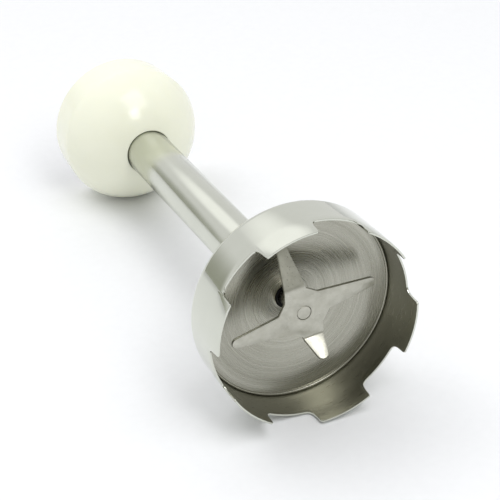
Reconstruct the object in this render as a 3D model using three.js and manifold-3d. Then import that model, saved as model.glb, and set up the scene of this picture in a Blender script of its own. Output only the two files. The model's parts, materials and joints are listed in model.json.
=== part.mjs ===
// The detachable blending foot of an immersion blender: a steel bell and tube with a spinning blade,
// and the plastic coupling head that plugs into the motor handle.
// Millimetres. The foot is designed about its own axis, local +Y, with the rim of the bell at y = 0,
// and is then laid on its side so that the bell and the head both touch z = 0.
import * as THREE from "three";
import { mergeVertices } from "three/addons/utils/BufferGeometryUtils.js";
import Module from "manifold-3d";

const wasm = await Module();
wasm.setup();

// ---- Fits ----
const GAP = 0.3; // between pieces that touch or are fixed to each other
const RUNNING = 0.08; // radial, between the spinning shaft and what it runs in

// ---- Bell: outer shell with six notches, and the dish inside it ----
const RIM_RADIUS = 33.5;
const SKIRT_TAPER = 0.4; // how much narrower the skirt is at its shoulder than at the rim
const SKIRT_LENGTH = 20.3;
const BELL_WALL = 0.6;
const SHOULDER_RADIUS = 3.5;
const DOME_SLOPE = 60; // degrees between the dome's cone and the axis
const NECK_FILLET = 5;
const NECK_LENGTH = 3;
const NOTCH_COUNT = 6;
const NOTCH_DEPTH = 6.7;
const NOTCH_MOUTH = 31.5; // degrees round the rim
const NOTCH_FLOOR = 20.5; // degrees along the flat bottom of the notch
const NOTCH_LOBE_LEVEL = 0.5; // how far the S of a notch's side runs level at the lobe, for its width
const NOTCH_FLOOR_LEVEL = 1.2; // and at the floor
const NOTCH_TURN = 15.5; // degrees, where the first notch is centred
const DISH_DEPTH = 18.4; // rim to the outer edge of the dish
const DISH_RISE = 4.4; // how much deeper the dish is at its hole
const DISH_SWELL = 0.62; // share of the rise reached half way in
const DISH_WALL = 0.6;
const DISH_LIP = 1.6;

// ---- Tube and lower bearing ----
const TUBE_RADIUS = 8;
const TUBE_WALL = 1;
const TUBE_IN_DOME = 2; // how far the tube goes past the neck into the bell
const TUBE_ABOVE_BELL = 109.66; // from the end of the bell's neck to the tube's upper end
const HOUSING_FLANGE_RADIUS = 16;
const HOUSING_FLANGE_HEIGHT = 2;
const HOUSING_OVERHANG = 3; // its body beyond the tube
const HOUSING_IN_TUBE = 24;
const SEAL_NOSE_WALL = 0.82; // the part of the seal that stands in the dish's hole
const SEAL_RADIUS = 7;
const SEAL_HEIGHT = 2.7;
const BUSH_WALL = 2;
const LOWER_BUSH_LENGTH = 14;

// ---- Spinning parts ----
const SHAFT_RADIUS = 3;
const SPIGOT_RADIUS = 2.1; // the shaft's end, peened over in the blade
const BLADE_DEPTH = 11; // rim to the front face of the blade
const BLADE_THICKNESS = 1;
const ARM_COUNT = 4;
const BLADE_TURN = 7.5; // degrees, direction of the first arm
const ARM_OFFSET = 1.8; // sideways shift of each arm's centre line from the axis
const ARM_ROOT = 8.4; // axis to the fold line
const ARM_ROOT_WIDTH = 7.2;
const ARM_TIP_WIDTH = 3;
const HUB_CORNER = 3; // how far an arm's leading edge runs on inside its fold line
const BLADE_CLEARANCE = 7.7; // between the ends of the flat arms and the edge of the dish
const REAR_ARM_LENGTH = 14.8;
const REAR_ARM_BEND = 26; // degrees, towards the dish
const FRONT_ARM_LENGTH = 9.2;
const FRONT_ARM_BEND = -55; // degrees, away from the dish
const WASHER_RADIUS = 5;
const WASHER_HEIGHT = 1;
const CLIP_OVERHANG = 1.7; // beyond the shaft
const CLIP_HEIGHT = 0.8;
const CLIP_GROOVE = 0.6; // depth
const THRUST_OVERHANG = 1.8;
const THRUST_HEIGHT = 0.5;

// ---- Upper bearing ----
const UPPER_BUSH_LENGTH = 12;
const CARRIER_IN_TUBE = 14;
const CARRIER_OVERHANG = 2; // beyond the tube
const CARRIER_FLANGE_HEIGHT = 2.5;

// ---- Coupling head ----
const HEAD_RADIUS = 24.9;
const HEAD_FLATTENING = 1.2; // the face is part of a ball that is larger than the head by this much
const HEAD_PAST_TUBE = 9.05; // from the tube's upper end to the middle of that ball
const HEAD_SHOULDER_RADIUS = 5;
const HEAD_BACK_TAPER = 0.7; // how much narrower the head is at its mouth
const HEAD_SKIRT = 12.65; // from the widest place to the mouth
const HEAD_WALL = 2.4;
const HEAD_SLEEVE_WALL = 2;
const HEAD_EDGE = 0.9; // bevel round the mouth
const FLANGE_FROM_TUBE_END = 4.5; // tube's upper end to the near side of its flange
const FLANGE_THICKNESS = 1.5;
const FLANGE_MARGIN = 3; // from the screws' circle to the flange's edge
const JOINT_SEAL_SECTION = 0.9; // radius
const JOINT_SEAL_ROOM = 0.45; // on each side of it, to the head's sleeve and to the flange
const CORE_FLOOR = 2.5;
const CORE_WALL = 2;
const CORE_COLLAR_HEIGHT = 13.5;
const CORE_HUB_WALL = 1.3;
const CORE_HUB_HEIGHT = 4;
const LUG_COUNT = 3;
const LUG_TURN = 30; // degrees, direction of the first lug
const LUG_DEPTH = 1.8;
const LUG_WIDTH = 8;
const LUG_HEIGHT = 2.5;
const LUG_FROM_MOUTH = 3;
const SCREW_COUNT = 3;
const SCREW_TURN = 90; // degrees, direction of the first screw
const SCREW_RADIUS = 1.3;
const SCREW_GRIP = 3.4; // how deep the screw goes into its boss
const SCREW_HEAD_RADIUS = 2.7;
const SCREW_HEAD_HEIGHT = 1.9;
const BOSS_WALL = 1.6;
const DOG_HUB_WALL = 1.3;
const DOG_WING = 2; // beyond the hub
const DOG_WINGS = 4;
const DOG_HEIGHT = 8;
const DOG_OVER_SHAFT = 1; // how far the dog stands past the end of the shaft
const PIN_RADIUS = 1;

const FINE = 60; // facets round the big pieces
const MIDDLE = 32;
const SMALL = 20;

// ---- Places along the axis, worked out from the sizes above ----
const rad = THREE.MathUtils.degToRad;
const skirtRadius = RIM_RADIUS - SKIRT_TAPER;
const neckRadius = TUBE_RADIUS + GAP + BELL_WALL;
const slope = rad(DOME_SLOPE);
const shoulderEnd = {
  radius: skirtRadius - SHOULDER_RADIUS * (1 - Math.cos(slope)),
  y: SKIRT_LENGTH + SHOULDER_RADIUS * Math.sin(slope),
};
const filletRadius = neckRadius + NECK_FILLET * (1 - Math.cos(slope));
const coneEnd = shoulderEnd.y + (shoulderEnd.radius - filletRadius) / Math.tan(slope);
const neckStart = coneEnd + NECK_FILLET * Math.sin(slope);
const neckEnd = neckStart + NECK_LENGTH;

const dishEdgeRadius = skirtRadius - BELL_WALL - GAP;
const dishHoleRadius = SHAFT_RADIUS + RUNNING + SEAL_NOSE_WALL + GAP;
const dishHoleFace = DISH_DEPTH + DISH_RISE;
const sealStart = dishHoleFace;
const sealFlange = dishHoleFace + DISH_WALL + 2 * GAP;
const sealEnd = sealFlange + SEAL_HEIGHT;
const housingStart = sealFlange;
const tubeInside = TUBE_RADIUS - TUBE_WALL;
const tubeStart = neckStart - TUBE_IN_DOME;
const tubeEnd = neckEnd + TUBE_ABOVE_BELL;
const housingBodyRadius = TUBE_RADIUS + HOUSING_OVERHANG;
const housingRoom = housingBodyRadius + GAP + BELL_WALL / Math.cos(slope); // where the dome is this wide
const housingShoulder = shoulderEnd.y + (shoulderEnd.radius - housingRoom) / Math.tan(slope);
const housingEnd = tubeStart + HOUSING_IN_TUBE;
const bushRadius = SHAFT_RADIUS + RUNNING + BUSH_WALL;
const lowerBushStart = sealEnd + 2 * GAP;
const lowerBushEnd = lowerBushStart + LOWER_BUSH_LENGTH;
const lowerThrustStart = lowerBushEnd + GAP;
const lowerClipStart = lowerThrustStart + THRUST_HEIGHT + GAP;

const flatArmLength = dishEdgeRadius - BLADE_CLEARANCE - ARM_ROOT;
const bladeBack = BLADE_DEPTH + BLADE_THICKNESS;
const washerStart = bladeBack + GAP;
const shaftShoulder = washerStart + WASHER_HEIGHT + GAP;

const carrierFlangeRadius = TUBE_RADIUS + CARRIER_OVERHANG;
const carrierStart = tubeEnd - CARRIER_IN_TUBE;
const carrierFlange = tubeEnd + GAP;
const carrierEnd = carrierFlange + CARRIER_FLANGE_HEIGHT;
const upperBushStart = carrierEnd - GAP - UPPER_BUSH_LENGTH;
const upperThrustStart = carrierEnd + GAP;
const upperClipStart = upperThrustStart + THRUST_HEIGHT + GAP;
const dogStart = upperClipStart + CLIP_HEIGHT + 2 * GAP;
const dogEnd = dogStart + DOG_HEIGHT;
const shaftEnd = dogEnd - DOG_OVER_SHAFT;
const pinHeight = dogStart + DOG_HEIGHT / 2;

const flangeStart = tubeEnd - FLANGE_FROM_TUBE_END;
const flangeEnd = flangeStart + FLANGE_THICKNESS;
const coreStart = flangeEnd + GAP;
const coreFloor = coreStart + CORE_FLOOR;
const coreMouth = coreFloor + CORE_COLLAR_HEIGHT;
const headBore = TUBE_RADIUS + GAP;
const faceRadius = HEAD_RADIUS + HEAD_FLATTENING;
const headCentre = tubeEnd + HEAD_PAST_TUBE;
const headFace = headCentre - Math.sqrt(faceRadius ** 2 - headBore ** 2);
const shoulderCircle = faceRadius - HEAD_SHOULDER_RADIUS; // the shoulder's middle, seen from the ball's
const headWidest = headCentre - Math.sqrt(shoulderCircle ** 2 - (HEAD_RADIUS - HEAD_SHOULDER_RADIUS) ** 2);
const headMouth = headWidest + HEAD_SKIRT;
const backRadius = HEAD_RADIUS - HEAD_BACK_TAPER;
const sleeveEnd = flangeStart - 2 * (JOINT_SEAL_SECTION + JOINT_SEAL_ROOM);
const bossEnd = flangeStart - GAP;
const coreRadius = backRadius - HEAD_WALL - GAP;
const collarInside = coreRadius - CORE_WALL;
const hubInside = carrierFlangeRadius + GAP;
const hubOutside = hubInside + CORE_HUB_WALL;
const screwCircle = (hubOutside + collarInside) / 2;

// ---- Geometry helpers ----
const point = (radius, y) => new THREE.Vector2(radius, y);

// Points on an arc about (radius, y); angles in degrees, 0 pointing outwards and 90 along the axis.
function arc(radius, y, size, from, to, steps) {
  const points = [];
  for (let i = 0; i <= steps; i++) {
    const angle = rad(from + ((to - from) * i) / steps);
    points.push(point(radius + size * Math.cos(angle), y + size * Math.sin(angle)));
  }
  return points;
}

// A closed outline in (radius, y), anticlockwise, turned about the axis.
function turned(outline, facets) {
  return new THREE.LatheGeometry([...outline, outline[0].clone()], facets);
}

// A plain ring or disc between two heights.
function ring(inner, outer, from, to, facets = SMALL) {
  if (inner === 0) {
    const solid = [point(0, from), point(outer, from), point(outer, to), point(0, to)];
    return new THREE.LatheGeometry(solid, facets);
  }
  return turned([point(inner, from), point(outer, from), point(outer, to), point(inner, to)], facets);
}

function solidOf(geometry) {
  const bare = geometry.clone();
  bare.deleteAttribute("normal");
  bare.deleteAttribute("uv");
  const merged = mergeVertices(bare, 1e-4);
  return new wasm.Manifold(
    new wasm.Mesh({
      numProp: 3,
      vertProperties: merged.attributes.position.array,
      triVerts: new Uint32Array(merged.index.array),
    }),
  );
}

function geometryOf(solid) {
  const mesh = solid.getMesh();
  const geometry = new THREE.BufferGeometry();
  geometry.setAttribute("position", new THREE.BufferAttribute(mesh.vertProperties, 3));
  geometry.setIndex(new THREE.BufferAttribute(mesh.triVerts, 1));
  geometry.computeVertexNormals();
  return geometry;
}

function without(geometry, cutters) {
  return geometryOf(cutters.reduce((left, cutter) => left.subtract(solidOf(cutter)), solidOf(geometry)));
}

function within(geometry, limit) {
  return geometryOf(solidOf(geometry).intersect(solidOf(limit)));
}

function joined(geometries) {
  return geometryOf(geometries.map(solidOf).reduce((whole, piece) => whole.add(piece)));
}

// The direction at an angle round the axis, measured from +X towards +Z.
const around = (degrees) => new THREE.Vector3(Math.cos(rad(degrees)), 0, Math.sin(rad(degrees)));

// Turns a shape that faces local +Z so that it faces out at that angle.
const facing = (geometry, degrees) => geometry.rotateY(rad(90 - degrees));

// An upright post of the given radius, standing beside the axis.
function post(radius, from, to, circle, degrees, facets = 12) {
  const place = around(degrees).multiplyScalar(circle);
  return ring(0, radius, from, to, facets).translate(place.x, 0, place.z);
}

const everyTurn = (count, first = 0) => Array.from({ length: count }, (_, i) => first + (360 * i) / count);

// ---- Materials ----
const finish = (color, roughness, metalness) =>
  new THREE.MeshStandardMaterial({ color, roughness, metalness });
const polishedSteel = finish(0xc9ccc2, 0.12, 1);
const spunSteel = finish(0xa4a49c, 0.35, 1);
const bladeSteel = finish(0xc3c2b8, 0.3, 1);
const shaftSteel = finish(0xb4b4b0, 0.25, 1);
const bronze = finish(0xa9854f, 0.45, 1);
const creamPlastic = finish(0xeff1dd, 0.25, 0);
const greyPlastic = finish(0xb9bab2, 0.5, 0);
const blackRubber = finish(0x1b1b1a, 0.7, 0);
const whitePlastic = finish(0xe6e6e0, 0.45, 0);

const foot = new THREE.Group();

function addPiece(name, geometry, material) {
  const mesh = new THREE.Mesh(geometry, material);
  mesh.name = name;
  foot.add(mesh);
}

// ---- Bell ----
// The bell's outer line from rim to neck, moved inwards by the inset.
function bellLine(inset) {
  return [
    point(RIM_RADIUS - inset, 0),
    point((RIM_RADIUS + skirtRadius) / 2 - inset, SKIRT_LENGTH / 2),
    ...arc(skirtRadius - SHOULDER_RADIUS, SKIRT_LENGTH, SHOULDER_RADIUS - inset, 0, DOME_SLOPE, 5),
    ...arc(neckRadius + NECK_FILLET, neckStart, NECK_FILLET + inset, 180 + DOME_SLOPE, 180, 4),
    point(neckRadius - inset, neckEnd),
  ];
}

// One notch: a flat floor between two S-shaped sides, cut through the skirt.
function notchCutter(degrees) {
  const mouth = RIM_RADIUS * Math.sin(rad(NOTCH_MOUTH / 2));
  const floor = RIM_RADIUS * Math.sin(rad(NOTCH_FLOOR / 2));
  const lobe = mouth - (mouth - floor) * NOTCH_LOBE_LEVEL;
  const bottom = floor + (mouth - floor) * NOTCH_FLOOR_LEVEL;
  const below = 2;
  const shape = new THREE.Shape();
  shape.moveTo(-mouth, -below);
  shape.lineTo(mouth, -below);
  shape.lineTo(mouth, 0);
  shape.bezierCurveTo(lobe, 0, bottom, NOTCH_DEPTH, floor, NOTCH_DEPTH);
  shape.lineTo(-floor, NOTCH_DEPTH);
  shape.bezierCurveTo(-bottom, NOTCH_DEPTH, -lobe, 0, -mouth, 0);
  const reach = RIM_RADIUS / 2;
  const cutter = new THREE.ExtrudeGeometry(shape, { depth: reach, curveSegments: 6, bevelEnabled: false });
  return facing(cutter.translate(0, 0, RIM_RADIUS - reach / 2), degrees);
}

const bell = turned([...bellLine(0), ...bellLine(BELL_WALL).reverse()], FINE);
const notches = everyTurn(NOTCH_COUNT, NOTCH_TURN).map(notchCutter);
addPiece("bell_shell", without(bell, notches), polishedSteel);

// The dish: a shallow spun cone with a lip that lines the skirt at the seam.
function dishFace(inset) {
  const start = point(dishEdgeRadius - DISH_WALL, DISH_DEPTH + inset);
  const middle = point(dishEdgeRadius / 2, DISH_DEPTH + inset + DISH_RISE * DISH_SWELL);
  const end = point(dishHoleRadius, dishHoleFace + inset);
  return new THREE.QuadraticBezierCurve(start, middle, end).getPoints(6);
}
const dishOutline = [
  point(dishEdgeRadius - DISH_WALL, DISH_DEPTH - DISH_LIP),
  point(dishEdgeRadius, DISH_DEPTH - DISH_LIP),
  point(dishEdgeRadius, DISH_DEPTH + DISH_WALL / 2),
  ...dishFace(DISH_WALL),
  ...dishFace(0).reverse(),
];
addPiece("bell_dish", turned(dishOutline, FINE), spunSteel);

// ---- Tube and lower bearing ----
addPiece("shaft_tube", ring(tubeInside, TUBE_RADIUS, tubeStart, tubeEnd, MIDDLE), polishedSteel);

const sealOutline = [
  point(SHAFT_RADIUS + RUNNING, sealStart),
  point(dishHoleRadius - GAP, sealStart),
  point(dishHoleRadius - GAP, sealFlange),
  point(SEAL_RADIUS, sealFlange),
  point(SEAL_RADIUS, sealEnd),
  point(SHAFT_RADIUS + RUNNING, sealEnd),
];
addPiece("shaft_seal", turned(sealOutline, SMALL), blackRubber);

const housingOutline = [
  point(SEAL_RADIUS + GAP, housingStart),
  point(HOUSING_FLANGE_RADIUS, housingStart),
  point(HOUSING_FLANGE_RADIUS, housingStart + HOUSING_FLANGE_HEIGHT),
  point(housingBodyRadius, housingStart + HOUSING_FLANGE_HEIGHT),
  point(housingBodyRadius, housingShoulder),
  point(tubeInside - GAP, housingShoulder),
  point(tubeInside - GAP, housingEnd),
  point(bushRadius + GAP, housingEnd),
  point(bushRadius + GAP, sealEnd + GAP),
  point(SEAL_RADIUS + GAP, sealEnd + GAP),
];
addPiece("bearing_housing", turned(housingOutline, MIDDLE), greyPlastic);

function bush(from, length) {
  const to = from + length;
  const bore = (SHAFT_RADIUS + RUNNING) / Math.cos(Math.PI / SMALL);
  return ring(bore, bushRadius, from, to);
}
addPiece("lower_bush", bush(lowerBushStart, LOWER_BUSH_LENGTH), bronze);

// ---- Spinning parts ----
const clipNeck = SHAFT_RADIUS - CLIP_GROOVE;
const dogWaist = SHAFT_RADIUS + GAP + DOG_HUB_WALL;
const dogRadius = dogWaist + DOG_WING;
const groove = (start) => [
  point(SHAFT_RADIUS, start - GAP / 2),
  point(clipNeck, start - GAP / 2),
  point(clipNeck, start + CLIP_HEIGHT + GAP / 2),
  point(SHAFT_RADIUS, start + CLIP_HEIGHT + GAP / 2),
];
const shaftLine = [
  point(0, BLADE_DEPTH),
  point(SPIGOT_RADIUS, BLADE_DEPTH),
  point(SPIGOT_RADIUS, shaftShoulder),
  point(SHAFT_RADIUS, shaftShoulder),
  ...groove(lowerClipStart),
  ...groove(upperClipStart),
  point(SHAFT_RADIUS, shaftEnd),
  point(0, shaftEnd),
];
function crossBar(radius, length) {
  return ring(0, radius, -length / 2, length / 2, 16).rotateZ(Math.PI / 2).translate(0, pinHeight, 0);
}
const shaftBar = new THREE.LatheGeometry(shaftLine, SMALL);
const pinBore = crossBar(PIN_RADIUS + GAP, 4 * dogRadius);
addPiece("drive_shaft", without(shaftBar, [pinBore]), shaftSteel);

// The plan of the blade's hub: each arm gives it the two ends of its fold and a corner behind its leading edge.
const halfRoot = ARM_ROOT_WIDTH / 2;
const edgeSlope = (ARM_ROOT_WIDTH - ARM_TIP_WIDTH) / 2 / flatArmLength;
const hubCorners = [
  new THREE.Vector2(ARM_ROOT, ARM_OFFSET - halfRoot),
  new THREE.Vector2(ARM_ROOT, ARM_OFFSET + halfRoot),
  new THREE.Vector2(ARM_ROOT - HUB_CORNER, ARM_OFFSET + halfRoot + HUB_CORNER * edgeSlope),
];

// A flat plate in the blade's plane: the plan's y runs towards +Z, and the plate is centred on y = 0.
function plate(shape) {
  const settings = { depth: BLADE_THICKNESS, curveSegments: 6, bevelEnabled: false };
  return new THREE.ExtrudeGeometry(shape, settings).rotateX(Math.PI / 2).translate(0, BLADE_THICKNESS / 2, 0);
}

function bladeHub(turns) {
  const origin = new THREE.Vector2();
  const outline = turns.flatMap((turn) => hubCorners.map((p) => p.clone().rotateAround(origin, rad(turn))));
  const shape = new THREE.Shape(outline);
  shape.holes.push(new THREE.Path().absarc(0, 0, SPIGOT_RADIUS + GAP, 0, 2 * Math.PI, true));
  return plate(shape);
}

// A tapered arm with a round tip, bent about its fold line; a positive bend goes towards the dish.
function bladeArm(turn, length, bend) {
  const overlap = BLADE_THICKNESS / 2;
  const tip = ARM_TIP_WIDTH / 2;
  const shape = new THREE.Shape();
  shape.moveTo(-overlap, -halfRoot);
  shape.lineTo(0, -halfRoot);
  shape.lineTo(length - tip, -tip);
  shape.absarc(length - tip, 0, tip, -Math.PI / 2, Math.PI / 2, false);
  shape.lineTo(0, halfRoot);
  shape.lineTo(-overlap, halfRoot);
  return plate(shape).rotateZ(rad(bend)).translate(ARM_ROOT, 0, ARM_OFFSET).rotateY(-rad(turn));
}

const armTurns = everyTurn(ARM_COUNT, BLADE_TURN);
const bladeArms = [
  bladeArm(armTurns[0], flatArmLength, 0),
  bladeArm(armTurns[1], REAR_ARM_LENGTH, REAR_ARM_BEND),
  bladeArm(armTurns[2], flatArmLength, 0),
  bladeArm(armTurns[3], FRONT_ARM_LENGTH, FRONT_ARM_BEND),
];
const blade = joined([bladeHub(armTurns), ...bladeArms]);
addPiece("blade", blade.translate(0, BLADE_DEPTH + BLADE_THICKNESS / 2, 0), bladeSteel);

const washerEnd = washerStart + WASHER_HEIGHT;
addPiece("blade_washer", ring(SPIGOT_RADIUS + GAP, WASHER_RADIUS, washerStart, washerEnd), shaftSteel);

// A thrust washer with the circlip that holds it, one pair at each bearing.
function shaftStop(place, thrustStart, clipStart) {
  const thrustEnd = thrustStart + THRUST_HEIGHT;
  const thrust = ring(SHAFT_RADIUS + GAP, SHAFT_RADIUS + THRUST_OVERHANG, thrustStart, thrustEnd);
  addPiece(`${place}_thrust_washer`, thrust, whitePlastic);
  const clip = ring(clipNeck + GAP, SHAFT_RADIUS + CLIP_OVERHANG, clipStart, clipStart + CLIP_HEIGHT);
  addPiece(`${place}_circlip`, clip, shaftSteel);
}
shaftStop("lower", lowerThrustStart, lowerClipStart);
shaftStop("upper", upperThrustStart, upperClipStart);

// The dog that the motor turns: a waisted cross on the end of the shaft, held by a pin.
const dogShape = new THREE.Shape(
  everyTurn(DOG_WINGS).flatMap((turn) => {
    const wing = 90 / DOG_WINGS;
    const corner = (radius, degrees) =>
      new THREE.Vector2(radius * Math.cos(rad(degrees)), radius * Math.sin(rad(degrees)));
    return [
      corner(dogWaist, turn - 1.5 * wing),
      corner(dogRadius, turn - wing / 2),
      corner(dogRadius, turn + wing / 2),
      corner(dogWaist, turn + 1.5 * wing),
    ];
  }),
);
dogShape.holes.push(new THREE.Path().absarc(0, 0, SHAFT_RADIUS + GAP, 0, 2 * Math.PI, true));
const dogBlank = new THREE.ExtrudeGeometry(dogShape, { depth: DOG_HEIGHT, curveSegments: 14, bevelEnabled: false });
dogBlank.rotateX(-Math.PI / 2).translate(0, dogStart, 0);
addPiece("drive_dog", without(dogBlank, [pinBore]), blackRubber);
addPiece("dog_pin", crossBar(PIN_RADIUS, 2 * dogRadius - GAP), shaftSteel);

// ---- Upper bearing ----
const carrierOutline = [
  point(bushRadius + GAP - BUSH_WALL / 2, carrierStart),
  point(tubeInside - GAP, carrierStart),
  point(tubeInside - GAP, carrierFlange),
  point(carrierFlangeRadius, carrierFlange),
  point(carrierFlangeRadius, carrierEnd),
  point(bushRadius + GAP, carrierEnd),
  point(bushRadius + GAP, upperBushStart - GAP),
  point(bushRadius + GAP - BUSH_WALL / 2, upperBushStart - GAP),
];
addPiece("bearing_carrier", turned(carrierOutline, SMALL), greyPlastic);
addPiece("upper_bush", bush(upperBushStart, UPPER_BUSH_LENGTH), bronze);

// ---- Coupling head ----
// The cover's line from its bore to its mouth, moved inwards by the inset, from the given radius outwards.
function headLine(inset, from) {
  const face = faceRadius - inset;
  const shoulder = HEAD_RADIUS - HEAD_SHOULDER_RADIUS;
  const start = THREE.MathUtils.radToDeg(Math.asin(from / face)) - 90;
  const meet = THREE.MathUtils.radToDeg(Math.asin(shoulder / shoulderCircle)) - 90;
  return [
    ...arc(0, headCentre, face, start, meet, 7),
    ...arc(shoulder, headWidest, HEAD_SHOULDER_RADIUS - inset, meet, 0, 4).slice(1),
  ];
}
const sleeveRadius = headBore + HEAD_SLEEVE_WALL;
const headOutline = [
  ...headLine(0, headBore),
  point(backRadius, headMouth - HEAD_EDGE),
  point(backRadius - HEAD_EDGE, headMouth),
  point(backRadius - HEAD_WALL, headMouth),
  ...headLine(HEAD_WALL, sleeveRadius).reverse(),
  point(sleeveRadius, sleeveEnd),
  point(headBore, sleeveEnd),
];
const screwTurns = everyTurn(SCREW_COUNT, SCREW_TURN);
const screwTip = bossEnd - SCREW_GRIP;
const bossRadius = SCREW_RADIUS + GAP + BOSS_WALL;
// The bosses start inside the wall of the cover's face, so each is trimmed by a ball half way through it.
const dome = new THREE.SphereGeometry(faceRadius - HEAD_WALL / 2, MIDDLE, SMALL).translate(0, headCentre, 0);
const boss = (turn) => within(post(bossRadius, headFace, bossEnd, screwCircle, turn), dome);
const screwBore = (turn) => post(SCREW_RADIUS + GAP, screwTip - GAP, coreMouth, screwCircle, turn);
const screwBores = screwTurns.map(screwBore);
const cover = joined([turned(headOutline, FINE), ...screwTurns.map(boss)]);
addPiece("head_cover", without(cover, screwBores), creamPlastic);

const flangeRadius = screwCircle + FLANGE_MARGIN;
const flange = ring(TUBE_RADIUS + GAP, flangeRadius, flangeStart, flangeEnd, MIDDLE);
addPiece("tube_flange", without(flange, screwBores), spunSteel);

const sealHeight = (sleeveEnd + flangeStart) / 2;
const jointSeal = turned(
  arc(headBore + JOINT_SEAL_SECTION, sealHeight, JOINT_SEAL_SECTION, 0, 315, 7),
  MIDDLE,
);
addPiece("joint_seal", jointSeal, blackRubber);

const coreOutline = [
  point(hubInside, coreStart),
  point(flangeRadius, coreStart),
  point(coreRadius, coreFloor),
  point(coreRadius, coreMouth),
  point(collarInside, coreMouth),
  point(collarInside, coreFloor),
  point(hubOutside, coreFloor),
  point(hubOutside, coreFloor + CORE_HUB_HEIGHT),
  point(hubInside, coreFloor + CORE_HUB_HEIGHT),
];
// A bayonet lug on the inside of the collar, for the motor handle to turn behind.
function lug(degrees) {
  const depth = LUG_DEPTH + CORE_WALL / 2;
  const block = new THREE.BoxGeometry(LUG_WIDTH, LUG_HEIGHT, depth);
  const middle = collarInside - LUG_DEPTH + depth / 2;
  return facing(block.translate(0, coreMouth - LUG_FROM_MOUTH - LUG_HEIGHT / 2, middle), degrees);
}
const lugs = everyTurn(LUG_COUNT, LUG_TURN).map(lug);
const core = joined([turned(coreOutline, MIDDLE), ...lugs]);
addPiece("coupling_core", without(core, screwBores), greyPlastic);

const screwHead = coreFloor + GAP;
const screwLine = [
  point(0, screwTip),
  point(SCREW_RADIUS, screwTip),
  point(SCREW_RADIUS, screwHead),
  point(SCREW_HEAD_RADIUS, screwHead),
  point(SCREW_HEAD_RADIUS, screwHead + SCREW_HEAD_HEIGHT),
  point(0, screwHead + SCREW_HEAD_HEIGHT),
];
screwTurns.forEach((turn, i) => {
  const place = around(turn).multiplyScalar(screwCircle);
  const screw = new THREE.LatheGeometry(screwLine, 16).translate(place.x, 0, place.z);
  addPiece(`head_screw_${i + 1}`, screw, shaftSteel);
});

// ---- Lying on its side ----
// The slope of the line that rests against the bell and the head, which is the floor once the foot lies down.
const bellSlope = (head) => Math.max(...bellLine(0).map((bell) => (bell.x - head.x) / (head.y - bell.y)));
const lie = Math.atan(Math.min(...headLine(0, headBore).map(bellSlope)));
foot.rotation.x = -lie;

const model = new THREE.Group();
model.add(foot);
const box = new THREE.Box3().setFromObject(model, true);
const middle = box.getCenter(new THREE.Vector3());
foot.position.set(-middle.x, -middle.y, -box.min.z);

export default model;
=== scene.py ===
# The detachable blending foot of an immersion blender, lying on its side on a pale studio floor.
import json
import math
from collections import namedtuple

import bpy
from mathutils import Matrix, Vector
from mathutils.geometry import interpolate_bezier


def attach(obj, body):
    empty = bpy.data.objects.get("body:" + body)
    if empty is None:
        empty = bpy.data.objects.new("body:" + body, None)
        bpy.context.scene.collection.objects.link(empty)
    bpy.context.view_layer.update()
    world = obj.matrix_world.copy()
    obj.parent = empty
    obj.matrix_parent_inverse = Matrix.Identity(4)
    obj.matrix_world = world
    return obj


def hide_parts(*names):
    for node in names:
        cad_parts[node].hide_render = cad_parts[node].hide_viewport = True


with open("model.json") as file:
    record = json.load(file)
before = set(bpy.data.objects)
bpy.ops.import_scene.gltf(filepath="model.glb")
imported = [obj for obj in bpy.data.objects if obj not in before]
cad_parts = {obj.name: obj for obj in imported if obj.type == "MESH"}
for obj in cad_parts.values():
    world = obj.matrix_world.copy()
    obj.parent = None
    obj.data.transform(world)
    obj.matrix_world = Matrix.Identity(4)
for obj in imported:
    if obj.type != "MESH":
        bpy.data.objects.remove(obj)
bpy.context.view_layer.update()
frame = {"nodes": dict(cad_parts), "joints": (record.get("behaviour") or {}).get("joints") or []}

# ---- Sizes that the frame doesn't give, in millimetres and degrees ----
MM = 0.001
INSIDE = 0.03  # how far a smooth piece stays inside its faceted solid

BELL_WALL = 0.6
RIM_ROUND = 0.07
SKIRT_TAPER = 0.4
SKIRT_LENGTH = 20.3
SHOULDER_RADIUS = 3.5
DOME_SLOPE = 60
NECK_FILLET = 5
NECK_LENGTH = 3
NOTCH_COUNT = 6
NOTCH_DEPTH = 6.7
NOTCH_MOUTH = 31.5
NOTCH_FLOOR = 20.5
NOTCH_LOBE_LEVEL = 0.5
NOTCH_FLOOR_LEVEL = 1.2
NOTCH_TURN = 15.5
NOTCH_TOP = 9  # the rim is worked up to this height, and the skirt is plain above it
DISH_LIP = 1.6
DISH_WALL = 0.6
DISH_SWELL = 0.62
BEAD_RADIUS = 0.45

TUBE_INSIDE = 7
SEAL_NOSE = 1.2  # how far the seal's nose reaches into the dish's hole
SEAL_NOSE_ROOM = 0.3
ROOM = 0.1  # between a piece and the one that it goes into

SPIGOT_RADIUS = 2.1
PEEN_ROOM = 0.3  # round the spigot in the blade, before it is spread
PEEN_SPREAD = 0.22  # how far its end is spread in the blade
PEEN_ROUND = 0.25
PEEN_SUNK = 0.06  # below the blade's face
BLADE_THICKNESS = 1
BLADE_TURN = 7.5
ARM_OFFSET = 1.8
ARM_ROOT = 8.4
ARM_ROOT_WIDTH = 7.2
ARM_TIP_WIDTH = 3
HUB_CORNER = 3
FLAT_ARM = 16.1
REAR_ARM = 14.8
REAR_BEND = 26
FRONT_ARM = 9.2
FRONT_BEND = -55
FOLD_STEPS = 5  # straight facets that a fold is made of
FOLD_STEP = 0.35
TIP_ROUND = 1.45

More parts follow.
